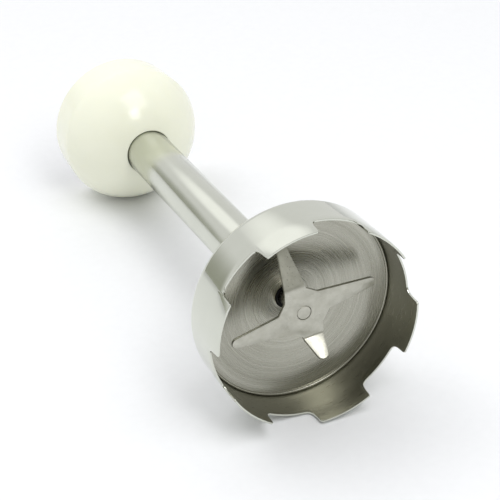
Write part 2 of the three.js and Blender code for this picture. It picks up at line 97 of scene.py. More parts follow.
HEAD_FLATTENING = 1.2
HEAD_SHOULDER = 5
HEAD_TAPER = 0.7
HEAD_EDGE = 0.9  # rounding of the mouth
HEAD_WALL = 2.4
SLEEVE_WALL = 2
SEAL_SECTION = 0.9
SEAL_ROOM = 0.45
JOINT_LINE = 0.07  # the dark line between the tube and the head
CORE_FLOOR = 2.5
CORE_WALL = 2
CORE_HUB_WALL = 1.3
CORE_HUB_HEIGHT = 4
LUG_TURN = 30
LUG_COUNT = 3
LUG_WIDTH = 8
LUG_HEIGHT = 2.5
LUG_DEPTH = 1.8
LUG_FROM_MOUTH = 3
SCREW_TURN = 90
SCREW_COUNT = 3
SCREW_RADIUS = 1.3
BOSS_RADIUS = 3.2
SCREW_REACH = 3.6  # how far a screw's hole goes down its boss
DOG_WAIST = 4.6
DOG_WING = 22.5
PIN_RADIUS = 1
PIN_SUNK = 0.15
CLIP_GAP = 2.2  # opening of a circlip

FINE = 192  # facets round the big pieces
MIDDLE = 96
SMALL = 48


# ---- The shaft's own frame: pieces are made upright on it and then laid down ----
# Upright, Z runs up the shaft from the rim of the bell, and angles go from +X towards what lies uppermost.
joint = frame["joints"][0]
rim_centre = Vector(joint["pos_m"])
along_shaft = Vector(joint["axis"])
across = Vector((1, 0, 0))
LAID = Matrix.Translation(rim_centre) @ Matrix((across, along_shaft.cross(across), along_shaft)).transposed().to_4x4()
STANDING = LAID.inverted()

Span = namedtuple("Span", "start end inner outer")


def span(node):
    """Where a turned CAD node starts and ends along the shaft, and its smallest and largest radius, in mm."""
    upright = [STANDING @ v.co / MM for v in frame["nodes"][node].data.vertices]
    heights = [p.z for p in upright]
    radii = [p.xy.length for p in upright]
    return Span(min(heights), max(heights), min(radii), max(radii))


def around(degrees, radius, height=0.0):
    """A place beside the upright shaft."""
    turn = math.radians(degrees)
    return Vector((radius * math.cos(turn), -radius * math.sin(turn), height))


def arc(radius, height, size, start, end, steps):
    """Outline points on an arc about (radius, height); 0 degrees points outwards and 90 up the shaft."""
    turns = [math.radians(start + (end - start) * i / steps) for i in range(steps + 1)]
    return [(radius + size * math.cos(t), height + size * math.sin(t)) for t in turns]


def every_turn(count, first=0.0):
    return [first + 360 * i / count for i in range(count)]


# ---- Modelling helpers ----
def close_edit():
    bpy.ops.object.mode_set(mode="OBJECT")
    return bpy.context.object


def draw(name, points):
    """A chain of edges through the points, in mm, drawn on from one vertex to the next; it ends in edit mode."""
    bpy.ops.object.select_all(action="DESELECT")
    bpy.ops.mesh.primitive_plane_add(size=MM)
    piece = bpy.context.object
    piece.name = name
    bpy.ops.object.mode_set(mode="EDIT")
    bpy.ops.mesh.select_all(action="SELECT")
    bpy.ops.mesh.merge(type="CENTER")
    bpy.ops.transform.translate(value=Vector(points[0]) * MM)
    for here, there in zip(points, points[1:]):
        step = (Vector(there) - Vector(here)) * MM
        bpy.ops.mesh.extrude_vertices_move(TRANSFORM_OT_translate={"value": step})
    return piece


def turned(name, outline, facets=FINE, closed=True):
    """A piece turned about the shaft from its outline of (radius, height)."""
    points = [(radius, 0, height) for radius, height in outline]
    if closed:
        points.append(points[0])
    draw(name, points)
    bpy.ops.mesh.select_all(action="SELECT")
    bpy.ops.mesh.spin(steps=facets, angle=2 * math.pi, center=(0, 0, 0), axis=(0, 0, 1))
    bpy.ops.mesh.select_all(action="SELECT")
    bpy.ops.mesh.remove_doubles(threshold=MM / 1000)
    bpy.ops.mesh.normals_make_consistent(inside=False)
    return close_edit()


def rod(name, radius, start, end, facets=SMALL):
    """A plain round bar on the shaft's line, from one height to another."""
    return turned(name, [(0, start), (radius, start), (radius, end), (0, end)], facets, closed=False)


def slab(name, points, rise):
    """A flat outline, in mm, filled and extruded by the rise."""
    draw(name, [*points, points[0]])
    bpy.ops.mesh.select_all(action="SELECT")
    bpy.ops.mesh.remove_doubles(threshold=MM / 1000)
    bpy.ops.mesh.edge_face_add()
    bpy.ops.mesh.select_all(action="SELECT")
    bpy.ops.mesh.extrude_region_move(TRANSFORM_OT_translate={"value": Vector(rise) * MM})
    bpy.ops.mesh.select_all(action="SELECT")
    bpy.ops.mesh.normals_make_consistent(inside=False)
    return close_edit()


def rectangle(part):
    """The outline of a plain ring."""
    return [(part.inner, part.start), (part.outer, part.start), (part.outer, part.end), (part.inner, part.end)]


def block(name, middle, size):
    """A box that cuts or joins another piece; middle and size in mm."""
    bpy.ops.object.select_all(action="DESELECT")
    bpy.ops.mesh.primitive_cube_add(size=MM, location=Vector(middle) * MM, scale=size)
    bpy.context.object.name = name
    bpy.ops.object.transform_apply(location=True, rotation=True, scale=True)
    return bpy.context.object


def modified(piece, kind, **settings):
    """Adds a modifier with its settings and applies it."""
    bpy.ops.object.select_all(action="DESELECT")
    piece.select_set(True)
    bpy.context.view_layer.objects.active = piece
    modifier = piece.modifiers.new(kind.lower(), kind)
    for key, value in settings.items():
        setattr(modifier, key, value)
    bpy.ops.object.modifier_apply(modifier=modifier.name)
    return piece


def cut(piece, cutters, operation="DIFFERENCE"):
    """Cuts the cutters out of a piece, or joins them to it, and throws them away."""
    for cutter in cutters:
        modified(piece, "BOOLEAN", object=cutter, operation=operation, solver="EXACT")
        bpy.data.objects.remove(cutter)
    return piece


def rounded(piece, width, segments=2, angle=35):
    """Rounds the edges that are sharper than the angle, by a width in mm."""
    return modified(
        piece, "BEVEL", width=width * MM, segments=segments, limit_method="ANGLE",
        angle_limit=math.radians(angle), use_clamp_overlap=False,
    )


def beside(piece, circle, turns):
    """Moves a piece out from the shaft, in mm, and copies it to each turn, each copy with its own mesh."""
    copies = []
    for turn in turns:
        twin = piece.copy()
        twin.data = piece.data.copy()
        bpy.context.collection.objects.link(twin)
        twin.rotation_euler.z = -math.radians(turn)
        twin.location = around(turn, circle) * MM
        bpy.ops.object.select_all(action="DESELECT")
        twin.select_set(True)
        bpy.context.view_layer.objects.active = twin
        bpy.ops.object.transform_apply(location=True, rotation=True, scale=True)
        copies.append(twin)
    bpy.data.objects.remove(piece)
    return copies


def finished(piece, body, material, slot, *nodes, smooth=35):
    """Lays an upright piece down in its place, smooths it, attaches it to its body and hides the CAD nodes that it
    replaces.
    """
    bpy.ops.object.select_all(action="DESELECT")
    piece.select_set(True)
    bpy.context.view_layer.objects.active = piece
    piece.matrix_world = LAID @ piece.matrix_world
    bpy.ops.object.transform_apply(location=True, rotation=True, scale=True)
    bpy.ops.object.shade_smooth_by_angle(angle=math.radians(smooth))
    if not piece.data.materials:
        piece.data.materials.append(material)
    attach(piece, body)
    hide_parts(*nodes)
    return piece


# ---- Materials ----
def colour(hex_code):
    """An sRGB hex colour as linear red, green, blue and alpha."""
    parts = [int(hex_code[i : i + 2], 16) / 255 for i in (1, 3, 5)]
    return [p / 12.92 if p <= 0.04045 else ((p + 0.055) / 1.055) ** 2.4 for p in parts] + [1.0]


def node(tree, kind, inputs=None, **settings):
    """One node with its settings; an input is a number, a colour or the socket that is linked to it."""
    made = tree.nodes.new(kind)
    for key, value in settings.items():
        setattr(made, key, value)
    for key, value in (inputs or {}).items():
        if isinstance(value, bpy.types.NodeSocket):
            tree.links.new(value, made.inputs[key])
        else:
            made.inputs[key].default_value = value
    return made


def material(name, **sockets):
    """A material with a Principled shader whose plain values are set on its own sockets."""
    made = bpy.data.materials.new(name)
    made.use_nodes = True
    tree = made.node_tree
    shader = next(n for n in tree.nodes if n.type == "BSDF_PRINCIPLED")
    for key, value in sockets.items():
        shader.inputs[key.replace("_", " ")].default_value = value
    return made, tree, shader


def shaft_place(tree):
    """Object coordinates in the shaft's own frame, with Z up the shaft."""
    place = node(tree, "ShaderNodeTexCoord")
    turn = LAID.to_euler()
    return node(
        tree, "ShaderNodeMapping", {"Vector": place.outputs["Object"], "Location": rim_centre, "Rotation": turn},
        vector_type="TEXTURE",
    ).outputs["Vector"]


def marks(tree, width, stretch=(1, 1, 1), detail=2.0):
    """Noise whose grains are the width in mm; a small stretch value draws them out along that axis of the shaft."""
    size = [s / (width * MM) for s in stretch]
    spread = node(tree, "ShaderNodeMapping", {"Vector": shaft_place(tree), "Scale": size})
    grain = node(tree, "ShaderNodeTexNoise", {"Vector": spread.outputs["Vector"], "Scale": 1.0, "Detail": detail})
    return grain.outputs["Fac"]


def rings(tree, pitch, detail=2.0):
    """Turned marks: noise that changes only with the distance from the shaft, about one mark for each pitch in mm."""
    parts = node(tree, "ShaderNodeSeparateXYZ", {"Vector": shaft_place(tree)})
    flat = node(tree, "ShaderNodeCombineXYZ", {"X": parts.outputs["X"], "Y": parts.outputs["Y"]})
    radius = node(tree, "ShaderNodeVectorMath", {0: flat.outputs["Vector"]}, operation="LENGTH")
    reach = node(tree, "ShaderNodeMath", {0: radius.outputs["Value"], 1: 1 / (pitch * MM)}, operation="MULTIPLY")
    noise = node(
        tree, "ShaderNodeTexNoise", {"W": reach.outputs[0], "Scale": 1.0, "Detail": detail}, noise_dimensions="1D"
    )
    return noise.outputs["Fac"]


def spread_over(tree, value, low, high):
    """A pattern from 0.25 to 0.75 brought to run from low to high."""
    return node(
        tree, "ShaderNodeMapRange",
        {"Value": value, "From Min": 0.25, "From Max": 0.75, "To Min": low, "To Max": high},
    ).outputs["Result"]


def blend(tree, value, first, second):
    """A colour between two hex colours."""
    mixed = node(tree, "ShaderNodeMix", {"Factor": value}, data_type="RGBA")
    mixed.inputs[6].default_value = colour(first)
    mixed.inputs[7].default_value = colour(second)
    return mixed.outputs[2]


def bumped(tree, shader, height, depth, strength=1.0):
    """Relief of the given depth in mm."""
    bump = node(tree, "ShaderNodeBump", {"Height": height, "Distance": depth * MM, "Strength": strength})
    tree.links.new(bump.outputs["Normal"], shader.inputs["Normal"])


def buffed_stainless(name, glossy, hazy):
    # 18/10 stainless steel, buffed on a mop: a warm grey cast, and faint hazy patches and hairlines round the shaft
    # where the mop has passed. The two roughnesses set how near it comes to a mirror.
    made, tree, shader = material(name, Metallic=1.0)
    haze = marks(tree, 9, detail=3.0)
    tree.links.new(spread_over(tree, haze, glossy, hazy), shader.inputs["Roughness"])
    tree.links.new(blend(tree, haze, "#CBCDC2", "#D4D6CC"), shader.inputs["Base Color"])
    bumped(tree, shader, marks(tree, 0.5, (0.06, 0.06, 1)), 0.0012)
    return made


def turned_stainless():
    # The same sheet as it leaves the spinning lathe, not buffed: fine marks round the shaft that draw each
    # reflection out into a fan. The real marks are about 0.1 mm apart; here they are 0.45 mm, so that they show.
    made, tree, shader = material("turned_stainless_steel", Metallic=1.0, Anisotropic=0.7)
    tangent = node(tree, "ShaderNodeTangent", direction_type="RADIAL", axis="Y")
    tree.links.new(tangent.outputs["Tangent"], shader.inputs["Tangent"])
    fine = rings(tree, 0.45)
    tree.links.new(spread_over(tree, fine, 0.20, 0.34), shader.inputs["Roughness"])
    tree.links.new(blend(tree, rings(tree, 2.2), "#9D9C90", "#BDBCB1"), shader.inputs["Base Color"])
    bumped(tree, shader, fine, 0.006)
    return made


def drawn_stainless():
    # The skirt's inside, drawn over a former: satin, with scuffs along the drawing direction round the wall.
    made, tree, shader = material("drawn_stainless_steel", Metallic=1.0, Anisotropic=0.5)
    tangent = node(tree, "ShaderNodeTangent", direction_type="RADIAL", axis="Y")
    tree.links.new(tangent.outputs["Tangent"], shader.inputs["Tangent"])
    scuffs = marks(tree, 0.25, (0.06, 0.06, 1))
    tree.links.new(spread_over(tree, scuffs, 0.26, 0.36), shader.inputs["Roughness"])
    tree.links.new(blend(tree, scuffs, "#98978B", "#A3A296"), shader.inputs["Base Color"])
    bumped(tree, shader, scuffs, 0.0015)
    return made


def tumbled_blade_steel():
    # Hardened strip, stamped and tumbled: even satin grey with small pits and rub marks half a millimetre wide.
    made, tree, shader = material("tumbled_blade_steel", Metallic=1.0)
    rubs = marks(tree, 0.5, detail=4.0)
    clouds = marks(tree, 2.2, detail=4.0)
    tree.links.new(spread_over(tree, rubs, 0.24, 0.42), shader.inputs["Roughness"])
    tree.links.new(blend(tree, clouds, "#A9A89B", "#CBCAC0"), shader.inputs["Base Color"])
    bumped(tree, shader, rubs, 0.006)
    return made


def turned_bar_steel():
    # Ground and turned bar: bright, with a fine thread-like turning mark.
    made, tree, shader = material("ground_bar_steel", Metallic=1.0)
    fine = marks(tree, 0.3, (0.3, 0.3, 1))
    tree.links.new(spread_over(tree, fine, 0.2, 0.34), shader.inputs["Roughness"])
    tree.links.new(blend(tree, fine, "#BDBBB0", "#CCCAC0"), shader.inputs["Base Color"])
    bumped(tree, shader, fine, 0.002)
    return made


def sintered_bronze():
    # Oil-filled sintered bronze: matt brown-gold with open pores about a fifth of a millimetre across.
    made, tree, shader = material("sintered_bronze", Metallic=1.0)
    pores = marks(tree, 0.2)
    tree.links.new(spread_over(tree, pores, 0.4, 0.6), shader.inputs["Roughness"])
    tree.links.new(blend(tree, pores, "#8C6A38", "#B08D52"), shader.inputs["Base Color"])
    bumped(tree, shader, pores, 0.02)
    return made


def glossy_cream_abs():
    # Injection-moulded ABS from a polished tool: glossy warm white, with the very slight waviness of a moulding.
    made, tree, shader = material(
        "glossy_cream_abs", IOR=1.54, Subsurface_Weight=0.12, Subsurface_Scale=0.004, Subsurface_Radius=(1.0, 0.9, 0.6)
    )
    waves = marks(tree, 6)
    tree.links.new(spread_over(tree, marks(tree, 1.5), 0.14, 0.20), shader.inputs["Roughness"])
    tree.links.new(blend(tree, waves, "#EDEEDA", "#F1F2DF"), shader.inputs["Base Color"])
    bumped(tree, shader, waves, 0.02)
    return made


def satin_plastic(name, dark, light, rough, grain=0.4):
    """A moulded plastic from a spark-eroded tool: an even satin with a fine grain."""
    made, tree, shader = material(name, IOR=1.5)
    texture = marks(tree, grain)
    tree.links.new(spread_over(tree, texture, rough - 0.06, rough + 0.06), shader.inputs["Roughness"])
    tree.links.new(blend(tree, texture, dark, light), shader.inputs["Base Color"])
    bumped(tree, shader, texture, 0.01)
    return made


buffed = buffed_stainless("buffed_stainless_steel", 0.045, 0.10)
buffed_tube = buffed_stainless("satin_buffed_stainless_tube", 0.13, 0.20)
spun = turned_stainless()
drawn = drawn_stainless()
blade_steel = tumbled_blade_steel()
bar_steel = turned_bar_steel()
bronze = sintered_bronze()
cream = glossy_cream_abs()
# Acetal: a hard grey bearing plastic. PTFE-filled acetal is whiter. The dog is glass-filled nylon, whose fibres show
# as a faint grey grain, and the seal is nitrile rubber with a dull bloom.
grey_acetal = satin_plastic("moulded_grey_acetal", "#AEAFA8", "#BDBEB6", 0.45)
white_acetal = satin_plastic("white_bearing_acetal", "#DCDCD5", "#E8E8E2", 0.4)
black_nylon = satin_plastic("glass_filled_black_nylon", "#1C1C1C", "#2A2A29", 0.5, grain=0.25)
nitrile = satin_plastic("black_nitrile_rubber", "#060606", "#0C0C0B", 0.75, grain=0.5)

# ---- Bell ----
shell = span("bell_shell")
rim_radius = shell.outer - INSIDE
skirt_radius = rim_radius - SKIRT_TAPER
neck_radius = shell.inner + BELL_WALL
neck_start = shell.end - NECK_LENGTH
slope = math.radians(DOME_SLOPE)


def rim_outline():
    """The rim once round, as (direction, height): lobes at height 0, and between them S-sided notches."""
    mouth = rim_radius * math.sin(math.radians(NOTCH_MOUTH / 2))
    floor = rim_radius * math.sin(math.radians(NOTCH_FLOOR / 2))
    lobe_end = Vector((mouth - (mouth - floor) * NOTCH_LOBE_LEVEL, 0))
    floor_end = Vector((floor + (mouth - floor) * NOTCH_FLOOR_LEVEL, NOTCH_DEPTH))
    curve = interpolate_bezier(Vector((mouth, 0)), lobe_end, floor_end, Vector((floor, NOTCH_DEPTH)), 15)
    side = [(math.degrees(math.asin(p.x / rim_radius)), p.y) for p in curve]
    bottom = [(NOTCH_FLOOR * (i / 6 - 0.5), NOTCH_DEPTH) for i in range(1, 6)]
    notch = [(-turn, height) for turn, height in side] + bottom + side[::-1]
    lobe = 360 / NOTCH_COUNT - NOTCH_MOUTH
    lobe = [(NOTCH_MOUTH / 2 + lobe * i / 8, 0) for i in range(1, 8)]
    return [(turn + place, height) for turn in every_turn(NOTCH_COUNT, NOTCH_TURN) for place, height in notch + lobe]


# The bell is one sheet, grown up from its notched rim row by row, and then given its thickness.
rim = [around(turn, rim_radius, height) for turn, height in rim_outline()]
bell = draw("bell", [*rim, rim[0]])
bpy.ops.mesh.select_all(action="SELECT")
bpy.ops.mesh.remove_doubles(threshold=MM / 1000)
bell_rows = [
    (rim_radius, NOTCH_TOP),
    (skirt_radius, SKIRT_LENGTH),
    *arc(skirt_radius - SHOULDER_RADIUS, SKIRT_LENGTH, SHOULDER_RADIUS, 0, DOME_SLOPE, 12)[1:],
    *arc(neck_radius + NECK_FILLET, neck_start, NECK_FILLET, 180 + DOME_SLOPE, 180, 12),
    (neck_radius, shell.end),
]
last_radius = rim_radius
for radius, height in bell_rows:
    bpy.ops.mesh.extrude_edges_move(TRANSFORM_OT_translate={"value": (0, 0, 0)})
    narrower = radius / last_radius
    bpy.ops.transform.resize(value=(narrower, narrower, 0), center_override=(0, 0, height * MM))
    last_radius = radius
bpy.ops.mesh.select_all(action="SELECT")
bpy.ops.mesh.normals_make_consistent(inside=False)
close_edit()
bell.data.materials.append(buffed)
bell.data.materials.append(drawn)
modified(bell, "SOLIDIFY", thickness=BELL_WALL * MM, offset=-1, use_even_offset=True, material_offset=1)
rounded(bell, RIM_ROUND, 2, 50)
finished(bell, "foot", buffed, "polished_steel", "bell_shell")

dish_box = span("bell_dish")
dish_edge = dish_box.outer - INSIDE
dish_depth = dish_box.start + DISH_LIP
dish_hole = dish_box.inner
dish_hole_face = dish_box.end - DISH_WALL


def dish_face(inset, steps=20):
    """The dish's shallow cone from its edge to its hole, swelling slightly towards the bell's mouth."""
    start = Vector((dish_edge - DISH_WALL, dish_depth + inset))
    middle = Vector((dish_edge / 2, dish_depth + inset + (dish_hole_face - dish_depth) * DISH_SWELL))
    end = Vector((dish_hole, dish_hole_face + inset))
    shares = [i / steps for i in range(steps + 1)]
    return [tuple(start * (1 - t) ** 2 + middle * 2 * t * (1 - t) + end * t**2) for t in shares]


# The dish's edge is rolled into a bead that is pressed tight against the skirt.
skirt_inside = rim_radius - BELL_WALL - SKIRT_TAPER
bead = (skirt_inside + INSIDE - BEAD_RADIUS, dish_depth - BEAD_RADIUS)
dish = turned(
    "dish",
    [
        *arc(*bead, BEAD_RADIUS, -240, 0, 12),
        (bead[0] + BEAD_RADIUS, dish_depth + DISH_WALL / 2),
        *dish_face(DISH_WALL),
        *dish_face(0)[::-1],
    ],
)
rounded(dish, 0.1, 2, 50)
finished(dish, "foot", spun, "spun_steel", "bell_dish")

# ---- Tube ----
tube_box = span("shaft_tube")
tube = turned(
    "tube",
    [
        (TUBE_INSIDE, tube_box.start),
        (tube_box.outer, tube_box.start),
        (tube_box.outer, tube_box.end),
        (TUBE_INSIDE, tube_box.end),
    ],
    MIDDLE,
)
rounded(tube, 0.2)
finished(tube, "foot", buffed_tube, "polished_steel", "shaft_tube")

# ---- Seal in the dish's hole ----
seal_box = span("shaft_seal")
nose = dish_hole - SEAL_NOSE_ROOM
nose_end = seal_box.start + SEAL_NOSE
seal = turned(
    "seal",
    [
        (seal_box.inner, seal_box.start),
        (nose, seal_box.start),
        (nose, nose_end),
        (seal_box.outer, nose_end),
        (seal_box.outer, seal_box.end),
        (seal_box.inner, seal_box.end),
    ],
    SMALL,
)
rounded(seal, 0.15)
finished(seal, "foot", nitrile, "black_rubber", "shaft_seal")

# ---- Blade ----
blade_front = span("drive_shaft").start
half_root = ARM_ROOT_WIDTH / 2
edge_slope = (ARM_ROOT_WIDTH - ARM_TIP_WIDTH) / 2 / FLAT_ARM
hub_plan = [
    Vector((ARM_ROOT, ARM_OFFSET - half_root)),
    Vector((ARM_ROOT, ARM_OFFSET + half_root)),
    Vector((ARM_ROOT - HUB_CORNER, ARM_OFFSET + half_root + HUB_CORNER * edge_slope)),
]
arm_turns = every_turn(4, BLADE_TURN)
arm_shapes = [(FLAT_ARM, 0), (REAR_ARM, REAR_BEND), (FLAT_ARM, 0), (FRONT_ARM, FRONT_BEND)]


def blade_place(plan, turn):
    """A point of the hub's plan, at the blade's mid-plane, turned about the shaft."""
    level = blade_front + BLADE_THICKNESS / 2
    angle = math.degrees(math.atan2(plan.y, plan.x))
    return around(angle + turn, plan.length, level)


def select_vertices(piece, places, reach=0.01):
    """Selects the vertices within reach, in mm, of the places."""
    bpy.ops.object.mode_set(mode="OBJECT")
    for part in (piece.data.vertices, piece.data.edges, piece.data.polygons):
        for item in part:
            item.select = False
    chosen = [v for v in piece.data.vertices if any((v.co / MM - p).length < reach for p in places)]
    for vertex in chosen:
        vertex.select = True
    for side in piece.data.edges:
        side.select = all(piece.data.vertices[i].select for i in side.vertices)
    bpy.ops.object.mode_set(mode="EDIT")


def grow_arm(piece, turn, length, bend):
    """Extrudes one arm from its fold line: a short curved fold, a straight tapered run, and a round tip."""
    ends = [blade_place(p, turn) for p in hub_plan[:2]]
    fold_line = (ends[1] - ends[0]).normalized()
    runs = [FOLD_STEP] * FOLD_STEPS + [length - FOLD_STEP * FOLD_STEPS]
    width, gone = ARM_ROOT_WIDTH, 0
    for number, run in enumerate(runs, 1):
        select_vertices(piece, ends)
        lean = math.radians(bend * min(number / FOLD_STEPS, 1))
        step = around(turn, math.cos(lean), math.sin(lean)) * run
        gone += run
        wide = ARM_ROOT_WIDTH + (ARM_TIP_WIDTH - ARM_ROOT_WIDTH) * gone / length
        bpy.ops.mesh.extrude_edges_move(TRANSFORM_OT_translate={"value": step * MM})
        middle = (ends[0] + ends[1]) / 2 + step
        bpy.ops.transform.resize(value=(wide / width,) * 3, center_override=middle * MM)
        ends = [middle + fold_line * side * wide / 2 for side in (-1, 1)]
        width = wide
    select_vertices(piece, ends)
    bpy.ops.mesh.bevel(offset=TIP_ROUND * MM, segments=5, affect="VERTICES", clamp_overlap=False)


cutting_blade = draw("cutting_blade", [blade_place(p, turn) for turn in arm_turns for p in hub_plan])
bpy.ops.mesh.select_all(action="SELECT")
bpy.ops.mesh.edge_face_add()
for turn, (length, bend) in zip(arm_turns, arm_shapes):
    grow_arm(cutting_blade, turn, length, bend)
bpy.ops.mesh.select_all(action="SELECT")
bpy.ops.mesh.remove_doubles(threshold=MM / 1000)
bpy.ops.mesh.normals_make_consistent(inside=False)
close_edit()
modified(cutting_blade, "SOLIDIFY", thickness=BLADE_THICKNESS * MM, offset=0, use_even_offset=True)
cut(cutting_blade, [rod("bore", SPIGOT_RADIUS + PEEN_ROOM, blade_front - 2, blade_front + 4)])
rounded(cutting_blade, 0.14, 2, 50)
finished(cutting_blade, "rotor", blade_steel, "blade_steel", "blade")

# ---- Shaft, with its end peened over in the blade ----
shaft_box = span("drive_shaft")
washer_box = span("blade_washer")
lower_clip = span("lower_circlip")
upper_clip = span("upper_circlip")
clip_groove = lower_clip.inner - 2 * ROOM


def groove(clip):
    """Outline points of the groove that a circlip sits in."""
    return [
        (shaft_box.outer, clip.start - ROOM),
        (clip_groove, clip.start - ROOM),
        (clip_groove, clip.end + ROOM),
        (shaft_box.outer, clip.end + ROOM),
    ]


peened = SPIGOT_RADIUS + PEEN_SPREAD
shaft = turned(
    "shaft",
    [
        (0, blade_front + PEEN_SUNK),
        *arc(peened - PEEN_ROUND, blade_front + PEEN_SUNK + PEEN_ROUND, PEEN_ROUND, -90, 0, 6),
        (peened, washer_box.start),
        (SPIGOT_RADIUS, washer_box.start),
        (SPIGOT_RADIUS, washer_box.end + 0.2),
        (shaft_box.outer, washer_box.end + 0.4),
        *groove(lower_clip),
        *groove(upper_clip),
        (shaft_box.outer, shaft_box.end - 0.4),
        (shaft_box.outer - 0.4, shaft_box.end),
        (0, shaft_box.end),
    ],
    SMALL,
    closed=False,
)
shaft.data.materials.append(bar_steel)
shaft.data.materials.append(blade_steel)
for face in shaft.data.polygons:
    face.material_index = 1 if face.center.z < washer_box.start * MM else 0
finished(shaft, "rotor", bar_steel, "machined_steel", "drive_shaft")

washer = turned("washer", rectangle(washer_box), SMALL)
finished(rounded(washer, 0.15), "rotor", bar_steel, "machined_steel", "blade_washer")

for place in ("lower", "upper"):
    thrust = turned(f"{place}_thrust_ring", rectangle(span(f"{place}_thrust_washer")), SMALL)
    finished(rounded(thrust, 0.08), "rotor", white_acetal, "white_plastic", f"{place}_thrust_washer")
    clip_box = span(f"{place}_circlip")
    clip = turned(f"{place}_clip", rectangle(clip_box), SMALL)
    opening = block("clip_opening", (clip_box.outer, 0, clip_box.start), (clip_box.outer * 1.6, CLIP_GAP, 4))
    cut(clip, [opening])
    finished(rounded(clip, 0.08), "rotor", bar_steel, "machined_steel", f"{place}_circlip")

# ---- Upper bearing ----
upper_bush = span("upper_bush")
carrier_box = span("bearing_carrier")
tube_end = tube_box.end
bush_room = upper_bush.outer + ROOM
carrier = turned(
    "carrier",
    [
        (carrier_box.inner, carrier_box.start),
        (TUBE_INSIDE - ROOM, carrier_box.start),
        (TUBE_INSIDE - ROOM, tube_end + ROOM),
        (carrier_box.outer, tube_end + ROOM),
        (carrier_box.outer, carrier_box.end),
        (bush_room, carrier_box.end),
        (bush_room, upper_bush.start - 2 * ROOM),
        (carrier_box.inner, upper_bush.start - 2 * ROOM),
    ],
    MIDDLE,
)
finished(rounded(carrier, 0.25), "foot", grey_acetal, "grey_plastic", "bearing_carrier")
bush = turned("bush", rectangle(upper_bush), SMALL)
finished(rounded(bush, 0.25), "foot", bronze, "bronze", "upper_bush")

# ---- Head cover ----
cover_box = span("head_cover")
flange_box = span("tube_flange")
head_radius = cover_box.outer - INSIDE
face_radius = head_radius + HEAD_FLATTENING
head_bore = tube_box.outer + JOINT_LINE
face_centre = cover_box.start + math.sqrt(face_radius**2 - cover_box.inner**2)
back_radius = head_radius - HEAD_TAPER
head_mouth = cover_box.end - INSIDE
shoulder_turn = math.asin((head_radius - HEAD_SHOULDER) / (face_radius - HEAD_SHOULDER))
shoulder = (
    (face_radius - HEAD_SHOULDER) * math.sin(shoulder_turn),
    face_centre - (face_radius - HEAD_SHOULDER) * math.cos(shoulder_turn),
)


def head_line(inset, start_radius):
    """The cover's outer line from its bore to its widest place, moved inwards by the inset."""
    start = math.degrees(math.asin(start_radius / (face_radius - inset))) - 90
    meet = math.degrees(shoulder_turn) - 90
    return [
        *arc(0, face_centre, face_radius - inset, start, meet, 28),
        *arc(*shoulder, HEAD_SHOULDER - inset, meet, 0, 20)[1:],
    ]


sleeve = head_bore + SLEEVE_WALL
sleeve_end = flange_box.start - 2 * (SEAL_SECTION + SEAL_ROOM)
cover = turned(
    "cover",
    [
        *head_line(0, head_bore),
        *arc(back_radius - HEAD_EDGE, head_mouth - HEAD_EDGE, HEAD_EDGE, 0, 90, 8),
        (back_radius - HEAD_WALL, head_mouth),
        *head_line(HEAD_WALL, sleeve)[::-1],
        (sleeve, sleeve_end),
        (head_bore, sleeve_end),
    ],
)
rounded(cover, 0.45, 4, 40)
core_box = span("coupling_core")
core_floor = core_box.start + CORE_FLOOR
collar_inside = core_box.outer - CORE_WALL
hub_outside = core_box.inner + CORE_HUB_WALL
screw_circle = (hub_outside + collar_inside) / 2
boss_top = flange_box.start - ROOM


def screw_bores():
    """A cutter for each screw's hole."""
    bored = rod("bore", SCREW_RADIUS + ROOM, boss_top - SCREW_REACH, core_box.end, 24)
    return beside(bored, screw_circle, every_turn(SCREW_COUNT, SCREW_TURN))


boss = rod("boss", BOSS_RADIUS, cover_box.start, boss_top)
bosses = beside(boss, screw_circle, every_turn(SCREW_COUNT, SCREW_TURN))
for boss in bosses:
    bpy.ops.mesh.primitive_uv_sphere_add(
        segments=64, ring_count=48, radius=(face_radius - HEAD_WALL / 2) * MM, location=(0, 0, face_centre * MM)
    )
    cut(boss, [bpy.context.object], "INTERSECT")
cut(cover, bosses, "UNION")
cut(cover, screw_bores())
finished(cover, "foot", cream, "cream_plastic", "head_cover")

# ---- Coupling core, with its bayonet lugs ----
core = turned(
    "core",
    [
        (core_box.inner, core_box.start),
        (flange_box.outer, core_box.start),
        (core_box.outer, core_floor),
        (core_box.outer, core_box.end),
        (collar_inside, core_box.end),
        (collar_inside, core_floor),
        (hub_outside, core_floor),
        (hub_outside, core_floor + CORE_HUB_HEIGHT),
        (core_box.inner, core_floor + CORE_HUB_HEIGHT),
    ],
)
lug_depth = LUG_DEPTH + CORE_WALL / 2
lug_middle = collar_inside - LUG_DEPTH + lug_depth / 2
lug = block("lug", (0, 0, core_box.end - LUG_FROM_MOUTH - LUG_HEIGHT / 2), (lug_depth, LUG_WIDTH, LUG_HEIGHT))
cut(core, beside(lug, lug_middle, every_turn(LUG_COUNT, LUG_TURN)), "UNION")
cut(core, screw_bores())
rounded(core, 0.25, 3, 40)
finished(core, "foot", grey_acetal, "grey_plastic", "coupling_core")

# ---- Screws: a domed head with a cross recess ----
screw_box = span("head_screw_1")
head_top = max((STANDING @ v.co).z for v in frame["nodes"]["head_screw_1"].data.vertices) / MM
screw = turned(
    "screw",
    [
        (0, screw_box.start),
        (0.5, screw_box.start),
        (SCREW_RADIUS, screw_box.start + 0.8),
        (SCREW_RADIUS, core_floor + 0.05),
        (2.6, core_floor + 0.05),
        *arc(1.5, core_floor + 1.0, 1.1, 0, 80, 8),
        (0, head_top),
    ],
    SMALL,
    closed=False,
)
recess = [block("recess", (0, 0, head_top), size) for size in ((2.9, 0.65, 2), (0.65, 2.9, 2))]
cut(screw, recess)
rounded(screw, 0.06, 2, 50)
for number, copy in enumerate(beside(screw, screw_circle, every_turn(SCREW_COUNT, SCREW_TURN)), 1):
    copy.name = f"screw_{number}"
    finished(copy, "foot", bar_steel, "machined_steel", f"head_screw_{number}")

